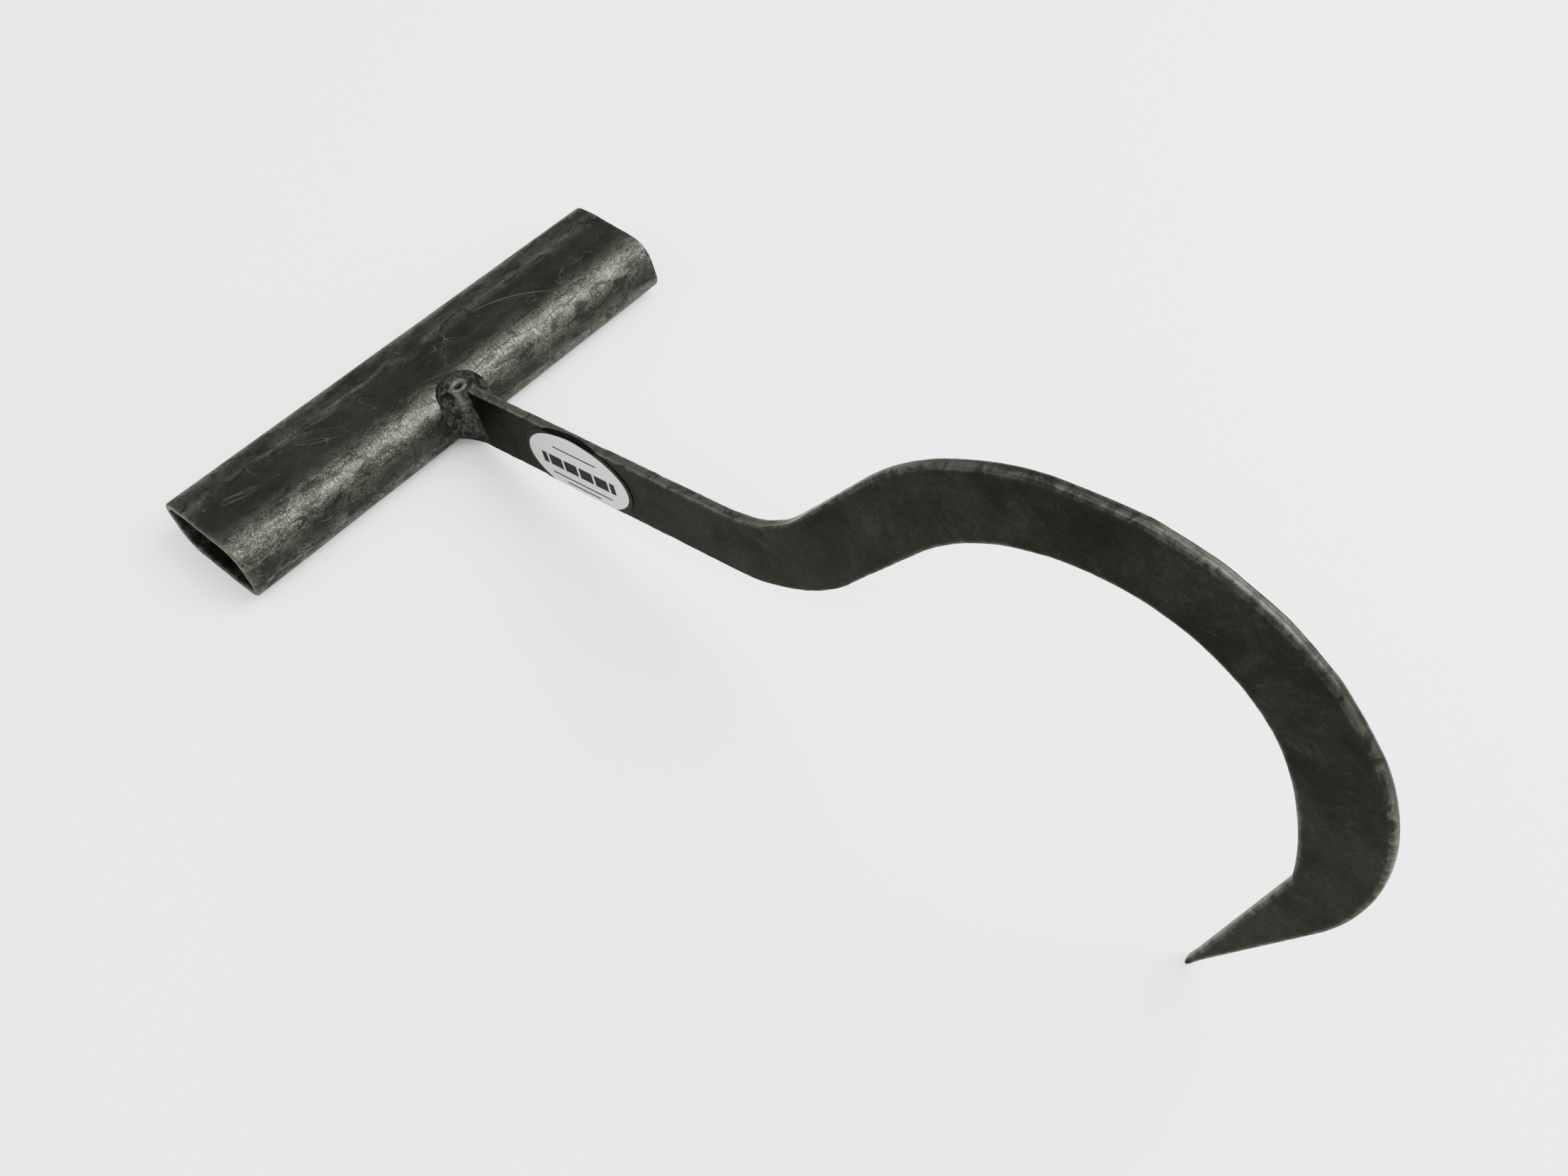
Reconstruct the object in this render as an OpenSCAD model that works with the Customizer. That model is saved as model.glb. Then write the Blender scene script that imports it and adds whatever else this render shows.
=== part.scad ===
// T-handled hand hook: a flat steel bar, bent and curled to a ground point,
// welded across the middle of a flattened steel tube that serves as the grip.
//
// The tool is drawn with its shank level: X runs from the grip to the hook, Y runs
// along the grip and Z is up, with the grip's axis on Y. stand() then tips it the way it
// stands on a bench, on the grip's underside and the hook's point, and puts the
// origin on the bench under the middle of the whole tool.

/* [Grip tube] */
// Length of the grip, from one sawn end to the other
grip_l = 150; // [100:1:200]
// Width of the flattened section, along the shank
grip_w = 31.8; // [26:0.2:44]
// Height of the flattened section
grip_h = 20.4; // [17:0.2:30]
// Wall of the tube
grip_wall = 2; // [1.5:0.1:4.2]
// Outside radius of the two tight corners of the section
tight_r = 4.5; // [3:0.1:6]
// Outside radius of the two wide corners of the section
wide_r = 8.3; // [6.5:0.1:9]
// How far the wide corners stand in from the section's full width
wide_in = 0.6; // [0:0.1:1.5]
// How far the wide corners stand in from the section's full height
wide_drop = 3.4; // [1:0.1:4.5]

/* [Hook bar] */
// Width of the bar, in the plane of the hook
bar_w = 19; // [15:0.5:24]
// Thickness of the bar, along the grip
bar_t = 3; // [2:0.1:6]
// Height of the shank's middle line below the grip's middle line
shank_drop = 2.7; // [0:0.1:4]
// How deep the bar's end is let into the front of the grip
bar_bite = 0.8; // [0.2:0.1:1.5]
// Straight shank, from the front of the grip to the first bend
shank_l = 95; // [60:1:160]
// Middle-line radius of the first bend, which turns up
rise_r = 44.5; // [30:0.5:80]
// Angle of the first bend
rise_a = 45; // [20:1:60]
// Straight run between the first bend and the hook
rise_l = 29.5; // [10:0.5:60]
// Middle-line radius of the hook's shoulder
shoulder_r = 63; // [45:0.5:90]
// Angle of the shoulder
shoulder_a = 54; // [30:1:70]
// Middle-line radius of the hook's bowl
bowl_r = 52; // [35:0.5:80]
// Angle of the bowl
bowl_a = 114; // [90:1:125]

/* [Point] */
// Length of the point along its outer side, to where its two sides would meet
point_l = 52; // [40:1:65]
// Angle between the point's two sides
point_a = 13; // [11:0.5:16]
// Radius of the point's blunted end
tip_r = 0.7; // [0.4:0.1:2]

// Radius of the opened throat behind the point
throat_r = 90; // [80:1:120]
// How far before the bowl's end the opened throat begins
throat_a = 50; // [40:1:60]

/* [Weld] */
// How far the side fillets reach along the shank
weld_leg = 6; // [3:0.1:9]
// How far the side fillets reach along the grip
weld_reach = 6.8; // [3:0.1:10]
// How far the side fillets reach back under the grip's front
weld_root = 3.4; // [2.6:0.1:4.5]
// How far the side fillets hollow inwards from a straight face
weld_hollow = 1.1; // [0.4:0.1:1.8]
// How far below the bar's upper edge the side fillets stop
weld_short = 3.4; // [2:0.1:6]
// How far the cap stands above the bar's upper edge
cap_proud = 1.1; // [0.4:0.1:2]
// How far back the cap runs over the top of the grip, from the grip's front
cap_back = 7.8; // [5:0.1:10]
// Radius of the crater in the cap
crater_r = 1.1; // [0.6:0.1:1.6]
// Radius of the bead under the joint
under_r = 3.2; // [2.4:0.1:4.5]
// How far the bead under the joint stands out from the grip's lower corner
under_out = 2.6; // [1.5:0.1:3]
// Half the length of the bead under the joint
under_half = 3.6; // [2.5:0.1:6]

/* [Label] */
// Length of the oval label
label_l = 39; // [26:0.5:60]
// How much wider the oval label is than the bar, measured round the bar's edges
label_over = 5; // [3:0.1:5.5]
// Thickness of the label's film
label_t = 0.15; // [0.1:0.05:0.3]
// Distance from the front of the grip to the middle of the label
label_x = 43.6; // [30:0.1:70]
// How far the middle of the label lies below the bar's middle line
label_low = 1; // [0:0.1:1.2]

/* [Hidden] */
$fn = 96;

// A cutting shape runs this far past what it cuts.
past = 1;
// Stretches of the bar that meet differ in half width by this, which leaves a clean edge.
seam = 0.002;
// The point's sides stop this far before the round that blunts it, for the same reason.
tip_step = 0.05;
// An inside corner of the tube never gets sharper than this.
least_inner_r = 0.4;

// Grip: half sizes and the middles of its corner rounds.
grip_front = grip_w / 2;
tight_c = [grip_w / 2 - tight_r, -(grip_h / 2 - tight_r)];
wide_c = [grip_w / 2 - wide_in - wide_r, grip_h / 2 - wide_drop - wide_r];

// Bar: its edges on the shank, and its end in the grip.
bar_top = bar_w / 2 - shank_drop;
bar_low = -bar_w / 2 - shank_drop;
bar_start = grip_front - bar_bite;
half_w = bar_w / 2;
half_t = bar_t / 2;

// Middle line of the bar: where each stretch starts and which way it heads.
function ahead(from, heading, length) = from + length * [cos(heading), sin(heading)];
function left_of(from, heading, distance) = from + distance * [-sin(heading), cos(heading)];
bend_start = [grip_front + shank_l, -shank_drop];
rise_c = left_of(bend_start, 0, rise_r);
rise_end = left_of(rise_c, rise_a, -rise_r);
shoulder_start = ahead(rise_end, rise_a, rise_l);
shoulder_c = left_of(shoulder_start, rise_a, -shoulder_r);
shoulder_heading = rise_a - shoulder_a;
bowl_start = left_of(shoulder_c, shoulder_heading, shoulder_r);
bowl_c = left_of(bowl_start, shoulder_heading, -bowl_r);
point_heading = shoulder_heading - bowl_a;
bowl_end = left_of(bowl_c, point_heading, bowl_r);

// Point: where its two sides would meet, and the middle of the round that blunts it.
apex = ahead(left_of(bowl_end, point_heading, half_w), point_heading, point_l);
tip_back = tip_r / sin(point_a / 2);
tip_c = ahead(apex, point_heading + point_a / 2, -tip_back);

// Standing pose: the wide corner at the grip's back and the point's round rest on the bench.
heel_c = -wide_c;
heel_to_tip = tip_c - heel_c;
heel_span = norm(heel_to_tip);
stand_a = asin((tip_r - wide_r) / heel_span) - atan2(heel_to_tip[1], heel_to_tip[0]);
function tipped(p) = [p[0] * cos(stand_a) - p[1] * sin(stand_a),
                      p[0] * sin(stand_a) + p[1] * cos(stand_a)];
bench_z = tipped(heel_c)[1] - wide_r;
back_x = min(tipped(-tight_c)[0] - tight_r, tipped(heel_c)[0] - wide_r);
front_x = tipped(bowl_c)[0] + bowl_r + half_w;

// Label: its width, round the bar's edges.
label_w = bar_w + label_over;

// Weld: the side fillets stop where the cap begins.
cap_z = bar_top - weld_short;
cap_top = bar_top + cap_proud;
cap_c_x = grip_front - cap_back / 2 + weld_leg / 4;
cap_half = half_t + weld_reach;
cap_h = cap_top - cap_z;
cap_r = (pow(cap_half, 2) + pow(cap_h, 2)) / (2 * cap_h);
fillet_tip = grip_front + weld_leg;

// Under bead: it stands out from the grip's lower corner towards the bar's lower corner.
to_bar_corner = [bar_start, bar_low] - tight_c;
under_c = tight_c + (tight_r + under_out - under_r) * to_bar_corner / norm(to_bar_corner);

// Places a shape drawn with its outline in X and Z, and thickness along Y, middle on Y = 0.
module across(thickness) {
    rotate([90, 0, 0])
        translate([0, 0, -thickness / 2])
            linear_extrude(thickness)
                children();
}

// Tips the tool on to the bench, with the origin under its middle.
module stand() {
    translate([-(back_x + front_x) / 2, 0, -bench_z])
        rotate([0, -stand_a, 0])
            children();
}

// One tangent line's outer contact points on two circles, as the quad that fills between them.
function tangent_quad(c1, r1, c2, r2) =
    let (gap = c2 - c1,
         away = atan2(gap[1], gap[0]) - acos((r1 - r2) / norm(gap)))
    [c1, c1 + r1 * [cos(away), sin(away)], c2 + r2 * [cos(away), sin(away)], c2];

// Flattened oval with its four corner rounds moved in by inset.
module grip_outline(inset = 0) {
    tight = max(tight_r - inset, least_inner_r);
    wide = wide_r - inset;
    rounds = [[tight_c, tight], [wide_c, wide], [-tight_c, tight], [-wide_c, wide]];
    polygon([for (one = rounds) one[0]]);
    for (one = rounds) {
        translate(one[0])
            circle(one[1]);
        for (other = rounds)
            if (other != one)
                polygon(tangent_quad(one[0], one[1], other[0], other[1]));
    }
}

// The space that the whole tube fills, bore and all.
module grip_solid() {
    across(grip_l) grip_outline();
}

module grip_tube() {
    color([0.27, 0.27, 0.25])
        stand()
            difference() {
                grip_solid();
                across(grip_l + 2 * past) grip_outline(grip_wall);
            }
}

// A straight stretch of the bar, and the move from its start to its far end.
module run(length) {
    translate([0, seam - half_w])
        square([length, bar_w - 2 * seam]);
}

module after_run(length) {
    translate([length, 0])
        children();
}

// The sector of a disc that a bend of the bar sweeps, about the bend's centre. side is 1
// for a left-hand bend and -1 for a right-hand one.
module sector(radius, angle, side) {
    reach = 2 * radius;
    intersection() {
        circle(radius);
        translate([0, -reach])
            square([reach, 2 * reach]);
        rotate(side * angle)
            translate([-reach, -reach])
                square([reach, 2 * reach]);
    }
}

// A curved stretch of the bar, and the move from its start to its far end.
module bend(radius, angle, side, inset = 0) {
    translate([0, side * radius])
        difference() {
            sector(radius + half_w - inset, angle, side);
            circle(radius - half_w + inset);
        }
}

module after_bend(radius, angle, side) {
    translate([0, side * radius])
        rotate(side * angle)
            translate([0, -side * radius])
                children();
}

// Moves from the start of the opened throat to where the point's two sides would meet.
module at_apex() {
    after_bend(bowl_r, throat_a, -1)
        translate([point_l, half_w])
            children();
}

// The last of the bowl and the point: the outer side is the bar's own, the inner side
// follows an arc of a larger radius and then a straight cut to the blunted end.
module point() {
    far = 2 * throat_r;
    difference() {
        union() {
            translate([0, -bowl_r])
                sector(bowl_r + half_w, throat_a, -1);
            after_bend(bowl_r, throat_a, -1)
                run(point_l);
        }
        intersection() {
            translate([0, -half_w - throat_r])
                circle(throat_r);
            at_apex()
                rotate(point_a)
                    translate([-far, -far])
                        square([2 * far, far]);
        }
        at_apex()
            rotate(point_a)
                translate([-point_l / 2, -bar_w])
                    square([point_l / 2 + past, bar_w]);
        at_apex()
            rotate(point_a / 2)
                translate([tip_r * sin(point_a / 2) - tip_step - tip_back, -bar_w])
                    square([tip_back + past, 2 * bar_w]);
    }
    at_apex()
        rotate(point_a / 2)
            translate([-tip_back, 0])
                circle(tip_r);
}

// The bar's full outline from the end let into the grip, each stretch where the last ends.
module bar_outline() {
    shank = shank_l + bar_bite;
    bowl_plain_a = bowl_a - throat_a;
    translate([bar_start, -shank_drop]) {
        run(shank);
        after_run(shank) {
            bend(rise_r, rise_a, 1);
            after_bend(rise_r, rise_a, 1) {
                run(rise_l);
                after_run(rise_l) {
                    bend(shoulder_r, shoulder_a, -1);
                    after_bend(shoulder_r, shoulder_a, -1) {
                        bend(bowl_r, bowl_plain_a, -1, seam);
                        after_bend(bowl_r, bowl_plain_a, -1)
                            point();
                    }
                }
            }
        }
    }
}

module bar_solid() {
    difference() {
        across(bar_t) bar_outline();
        grip_solid();
    }
}

module hook_bar() {
    color([0.22, 0.22, 0.2])
        stand()
            bar_solid();
}

// One side fillet seen from above: a right-angled fillet whose long face is hollowed by
// an arc, and whose toe runs on into the grip. side is -1 for near, 1 for far.
module fillet_outline(side) {
    toe = [grip_front, half_t + weld_reach];
    heel = [fillet_tip, half_t];
    chord = norm(heel - toe);
    arc_r = (pow(chord / 2, 2) + pow(weld_hollow, 2)) / (2 * weld_hollow);
    chord_a = atan2(heel[1] - toe[1], heel[0] - toe[0]);
    arc_c = left_of((toe + heel) / 2, chord_a, arc_r - weld_hollow);
    inner = [grip_front - weld_root, toe[1] + weld_root / 2];
    mirror([0, side < 0 ? 1 : 0])
        difference() {
            polygon([[inner[0], half_t], heel, toe, inner]);
            translate(arc_c)
                circle(arc_r);
        }
}

module side_fillet(side) {
    difference() {
        translate([0, 0, bar_low])
            linear_extrude(cap_z - bar_low)
                fillet_outline(side);
        grip_solid();
    }
}

module weld_near() {
    color([0.25, 0.25, 0.23])
        stand()
            side_fillet(-1);
}

module weld_far() {
    color([0.25, 0.25, 0.23])
        stand()
            side_fillet(1);
}

// Low dome over the bar's upper end, standing on the side fillets, with a crater where
// the run of weld ended.
module weld_top() {
    color([0.3, 0.3, 0.27])
        stand()
            difference() {
                intersection() {
                    translate([cap_c_x, 0, cap_top - cap_r])
                        sphere(cap_r);
                    translate([0, -cap_half - past, cap_z])
                        cube([fillet_tip + past, 2 * (cap_half + past), cap_h + past]);
                }
                grip_solid();
                bar_solid();
                translate([grip_front - crater_r / 2, -half_t, cap_top])
                    sphere(crater_r);
            }
}

// Round bead under the joint, between the grip's lower corner and the bar's lower edge.
module weld_under() {
    color([0.25, 0.25, 0.23])
        stand()
            difference() {
                across(2 * under_half)
                    translate(under_c)
                        circle(under_r);
                grip_solid();
                bar_solid();
                side_fillet(-1);
                side_fillet(1);
            }
}

// Oval of four arcs, twice as wide-arced above and below as at its ends.
module label_outline() {
    end_r = label_w / 3;
    end_x = label_l / 2 - end_r;
    side_r = (pow(end_x, 2) + pow(label_w / 2, 2) - pow(end_r, 2)) / (label_w - 2 * end_r);
    for (end = [-1, 1])
        translate([end * end_x, 0])
            circle(end_r);
    intersection() {
        translate([0, label_w / 2 - side_r]) circle(side_r);
        translate([0, side_r - label_w / 2]) circle(side_r);
        square([2 * end_x, 2 * label_w], center = true);
    }
}

// One strip of the label: the part of it between two heights over the bar's middle line,
// the right way up or upside down.
module label_strip(turn, from, to) {
    intersection() {
        rotate(turn)
            translate([0, -label_low])
                label_outline();
        translate([-label_l, from])
            square([2 * label_l, to - from]);
    }
}

// The oval lies on the bar's near face. Its upper and lower ends fold over the bar's edges
// on to the narrow faces, and go no further than the far face.
module label_film() {
    fold = half_w + label_t;
    color([0.75, 0.75, 0.72])
        stand()
            translate([grip_front + label_x, -half_t, -shank_drop]) {
                translate([0, -label_t / 2, 0])
                    across(label_t) label_strip(0, -fold, fold);
                for (turn = [0, 180])
                    rotate([0, turn, 0])
                        translate([0, -fold, half_w])
                            linear_extrude(label_t)
                                label_strip(turn, half_w, half_w + bar_t);
            }
}

grip_tube();
hook_bar();
weld_near();
weld_far();
weld_top();
weld_under();
label_film();
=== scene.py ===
"""A hand hook: a flat bar curled to a ground point, welded to a flattened tube grip.

The pieces are drawn in the tool's own frame, in millimetres: X runs along the shank from
the grip to the hook, Y along the grip, Z up, with the origin on the grip's axis. Stance
tips that frame on to the bench, in metres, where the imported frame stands.
"""

from __future__ import annotations

import logging
import math
from dataclasses import dataclass, field
from enum import Enum
from typing import Sequence

import bpy
from mathutils import Matrix, Vector, noise

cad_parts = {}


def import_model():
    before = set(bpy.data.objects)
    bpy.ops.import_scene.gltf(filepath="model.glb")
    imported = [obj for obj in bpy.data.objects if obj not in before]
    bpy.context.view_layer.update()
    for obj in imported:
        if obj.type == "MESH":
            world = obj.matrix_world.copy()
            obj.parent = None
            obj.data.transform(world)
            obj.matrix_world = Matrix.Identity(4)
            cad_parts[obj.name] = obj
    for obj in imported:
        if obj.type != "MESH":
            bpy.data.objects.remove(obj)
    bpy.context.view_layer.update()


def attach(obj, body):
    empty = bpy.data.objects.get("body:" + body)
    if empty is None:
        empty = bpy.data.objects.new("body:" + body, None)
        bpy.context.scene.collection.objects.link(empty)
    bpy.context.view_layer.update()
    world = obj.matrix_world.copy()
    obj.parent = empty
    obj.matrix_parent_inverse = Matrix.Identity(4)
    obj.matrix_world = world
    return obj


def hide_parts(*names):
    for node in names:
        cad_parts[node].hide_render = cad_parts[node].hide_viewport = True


LOG = logging.getLogger("hand_hook")
MM = 0.001
BODY = "root"
# Dark scale on steel glances far less at a low angle than bare metal does.
DULL_RIM = (0.62, 0.62, 0.60, 1.0)
Point2 = tuple[float, float]
Point3 = tuple[float, float, float]
TubeLine = list[tuple[Point2, Point2, float]]


# ---------------------------------------------------------------- shader expressions


class Wire:
    """One value in a shader, which can be added, multiplied and compared."""

    def __init__(self, graph: "Graph", socket: bpy.types.NodeSocket) -> None:
        """Wraps an output socket of a node in a graph."""
        self.graph = graph
        self.socket = socket

    def _math(self, operation: str, *terms: "Wire | float", clamp: bool = False) -> "Wire":
        """One Math node on some terms, with the result held between 0 and 1 if clamped."""
        settings = {"operation": operation, "use_clamp": clamp}
        return self.graph.add("ShaderNodeMath", settings, dict(enumerate(terms)))

    def __add__(self, other: "Wire | float") -> "Wire":
        """Sum."""
        return self._math("ADD", self, other)

    __radd__ = __add__

    def __sub__(self, other: "Wire | float") -> "Wire":
        """Difference."""
        return self._math("SUBTRACT", self, other)

    def __rsub__(self, other: float) -> "Wire":
        """Difference, from the other."""
        return self._math("SUBTRACT", other, self)

    def __mul__(self, other: "Wire | float") -> "Wire":
        """Product."""
        return self._math("MULTIPLY", self, other)

    __rmul__ = __mul__

    def __truediv__(self, other: "Wire | float") -> "Wire":
        """Quotient."""
        return self._math("DIVIDE", self, other)

    def size(self) -> "Wire":
        """Distance from nought."""
        return self._math("ABSOLUTE", self)

    def power(self, exponent: float) -> "Wire":
        """This value raised to a power."""
        return self._math("POWER", self, exponent)

    def over(self) -> "Wire":
        """What is left over a whole number."""
        return self._math("FRACT", self)

    def held(self) -> "Wire":
        """This value held between 0 and 1."""
        return self._math("ADD", self, 0.0, clamp=True)

    def most(self, other: "Wire | float") -> "Wire":
        """The greater of two values."""
        return self._math("MAXIMUM", self, other)

    def rise(self, low: float, high: float) -> "Wire":
        """Smooth step from 0 at low to 1 at high, which falls where high is below low."""
        flip = high < low
        first, last = (high, low) if flip else (low, high)
        stops = {0: self, 1: first, 2: last, 3: float(flip), 4: float(not flip)}
        return self.graph.add("ShaderNodeMapRange", {"interpolation_type": "SMOOTHSTEP"}, stops)


class Graph:
    """A material's node graph, built as expressions on wires."""

    def __init__(self, name: str) -> None:
        """Starts an empty material of some name."""
        self.material = bpy.data.materials.new(name)
        self.material.use_nodes = True
        self.material.node_tree.nodes.clear()

    def add(
        self,
        kind: str,
        settings: dict[str, object] | None = None,
        sockets: dict[int | str, object] | None = None,
        out: int | str = 0,
    ) -> Wire:
        """Adds any node.

        Args:
            kind: The node's type.
            settings: Its settings, which are set first.
            sockets: Values or wires for its inputs, by index or name.
            out: Which output is wanted.

        Returns:
            That output.
        """
        tree = self.material.node_tree
        node = tree.nodes.new(kind)
        for key, value in (settings or {}).items():
            setattr(node, key, value)
        for key, value in (sockets or {}).items():
            if isinstance(value, Wire):
                tree.links.new(value.socket, node.inputs[key])
            else:
                node.inputs[key].default_value = value
        return Wire(self, node.outputs[out])

    def place(self) -> Wire:
        """Position on the object, in metres."""
        return self.add("ShaderNodeTexCoord", out="Object")

    def painted(self, name: str) -> Wire:
        """A number stored on the mesh's points."""
        return self.add("ShaderNodeAttribute", {"attribute_name": name}, out="Fac")

    def joined(self, x: Wire | float, y: Wire | float, z: Wire | float) -> Wire:
        """A vector from three parts."""
        return self.add("ShaderNodeCombineXYZ", None, {0: x, 1: y, 2: z})

    def turned(self, vector: Wire, scale: Sequence[float], turn: Sequence[float]) -> Wire:
        """A position turned by degrees about each axis, then scaled along each axis."""
        angles = [math.radians(a) for a in turn]
        settings = {"rotation_type": "EULER_XYZ"}
        spun = self.add("ShaderNodeVectorRotate", settings, {"Vector": vector, "Rotation": angles})
        terms = {0: spun, 1: list(scale)}
        return self.add("ShaderNodeVectorMath", {"operation": "MULTIPLY"}, terms)

    def grain(
        self,
        where: Wire,
        per_metre: float,
        detail: float = 3.0,
        rough: float = 0.5,
        twist: float = 0.0,
    ) -> Wire:
        """Soft noise from 0 to 1, so many blotches to a metre, with rough finer layers."""
        sockets = {"Vector": where, "Scale": per_metre, "Detail": detail}
        sockets.update({"Roughness": rough, "Distortion": twist})
        return self.add("ShaderNodeTexNoise", None, sockets)

    def hairs(self, where: Wire, per_metre: float, width: float, twist: float = 0.0) -> Wire:
        """Thin curly lines, 1 on a line: the places where a soft noise passes its middle."""
        level = self.grain(where, per_metre, 1.0, 0.4, twist)
        return (level - 0.5).size().rise(width, width * 0.3)

    def blend(self, share: Wire | float, first: object, second: object) -> Wire:
        """Mixes two colours or wires; the share is how much of the second there is."""
        sockets = {0: share, 6: self._colour(first), 7: self._colour(second)}
        return self.add("ShaderNodeMix", {"data_type": "RGBA"}, sockets, 2)

    @staticmethod
    def _colour(value: object) -> object:
        """Gives a plain colour its alpha."""
        return value if isinstance(value, Wire) else (*value, 1.0)

    def bumps(self, height: Wire, depth: float, under: Wire | None = None) -> Wire:
        """The normal bent by a height, where 1 measures a depth in metres, on bumps under it."""
        sockets: dict[int | str, object] = {"Strength": 1.0, "Distance": depth, "Height": height}
        if under is not None:
            sockets["Normal"] = under
        return self.add("ShaderNodeBump", None, sockets)

    def shade(
        self, colour: Wire, rough: Wire, metal: Wire | float, normal: Wire, **fixed: object
    ) -> None:
        """Ends the graph in one surface; fixed values go by socket name, with _ for a space."""
        sockets = {"Base Color": colour, "Roughness": rough, "Metallic": metal, "Normal": normal}
        sockets.update({key.replace("_", " "): value for key, value in fixed.items()})
        surface = self.add("ShaderNodeBsdfPrincipled", None, sockets)
        node = self.material.node_tree.nodes.new("ShaderNodeOutputMaterial")
        self.material.node_tree.links.new(surface.socket, node.inputs["Surface"])


# ---------------------------------------------------------------- finishes


@dataclass(frozen=True)
class GripSteel:
    """Tube steel tumbled after welding: dark scale, worm-like rubbing, curly hairlines, and painted
    shade inside the bore.

    Clouds, drifts and the like count blotches to a metre. Depths are in metres.
    """

    scale_dark: Point3 = (0.0115, 0.0118, 0.0098)
    scale_mid: Point3 = (0.0185, 0.0190, 0.0158)
    bare: Point3 = (0.072, 0.074, 0.062)
    # Burnt colour of the welding tint; it also paints shade inside the bore.
    burnt: Point3 = (0.0045, 0.0041, 0.0037)
    arc_middle: Point2 = (0.03108, 0.01684)
    arc_r: float = 0.03499
    arc_half: float = 0.00016
    clouds: float = 90.0
    drifts: float = 260.0
    swirls: float = 400.0
    fines: float = 2600.0
    dent: float = 0.00006
    grit: float = 0.000012

    def make(self) -> bpy.types.Material:
        """Builds the material."""
        g = Graph("grip_steel")
        here = g.place()
        curve, wear, heat = g.painted("curve"), g.painted("wear"), g.painted("heat")
        cloud = g.grain(here, self.clouds, 4.0, 0.6, 0.4)
        stretched = g.turned(here, (1.0, 0.35, 1.0), (0.0, 0.0, 0.0))
        drift = g.grain(stretched, self.drifts, 4.0, 0.62, 1.2)
        swirl = (g.grain(here, self.swirls, 2.0, 0.5, 2.4) * 5.0).over() - 0.5
        worm_mask = swirl.size().rise(0.16, 0.30) * drift.rise(0.30, 0.56)
        fine = g.grain(here, self.fines, 2.0, 0.6)
        hair_a = g.hairs(g.turned(here, (1.0, 1.0, 1.0), (8.0, 21.0, 34.0)), 75.0, 0.006, 1.6)
        hair_b = g.hairs(g.turned(here, (1.0, 0.3, 1.0), (0.0, 0.0, 25.0)), 120.0, 0.005, 0.8)
        hairs = hair_a.most(hair_b) * g.grain(here, 160.0, 1.0).rise(0.48, 0.62)
        hairs = hairs.most(self._arc(g) * 2.4)
        rub = (drift.rise(0.38, 0.62) * 0.40 + worm_mask * 0.75) * (0.08 + curve * 0.80)
        rub = (rub * (0.6 + cloud.rise(0.30, 0.62) * 0.4)).held()
        base = g.blend(cloud.rise(0.34, 0.70) * 0.5, self.scale_dark, self.scale_mid)
        base = g.blend(rub, base, self.bare)
        base = g.blend(hairs * 0.45, base, self.bare)
        base = g.blend((wear * (0.35 + drift.rise(0.35, 0.6))).held() * 0.8, base, self.bare)
        # Welding tint round the joint, and painted shade deep in the bore, both blend towards the burnt
        # colour.
        base = g.blend(heat * 0.75, base, self.burnt)
        rough = 0.46 + (drift - 0.5) * 0.28 - rub * 0.10 + heat * 0.14 + (fine - 0.5) * 0.14
        normal = g.bumps(drift, self.dent)
        normal = g.bumps(worm_mask * (0.2 + curve * 0.8), self.dent, normal)
        normal = g.bumps(fine - hairs * 0.8, self.grit, normal)
        g.shade(base, rough.held(), 1.0, normal, Specular_Tint=DULL_RIM)
        return g.material

    def _arc(self, g: Graph) -> Wire:
        """One long curved scratch on the top flat: 1 on it and 0 off it."""
        x, y = g.painted("across") - self.arc_middle[0], g.painted("along") - self.arc_middle[1]
        away = (x * x + y * y).power(0.5) - self.arc_r
        line = away.size().rise(self.arc_half, self.arc_half / 4) * g.painted("upper")
        return line * y.rise(0.004, 0.009) * y.rise(0.0265, 0.0235)


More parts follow.
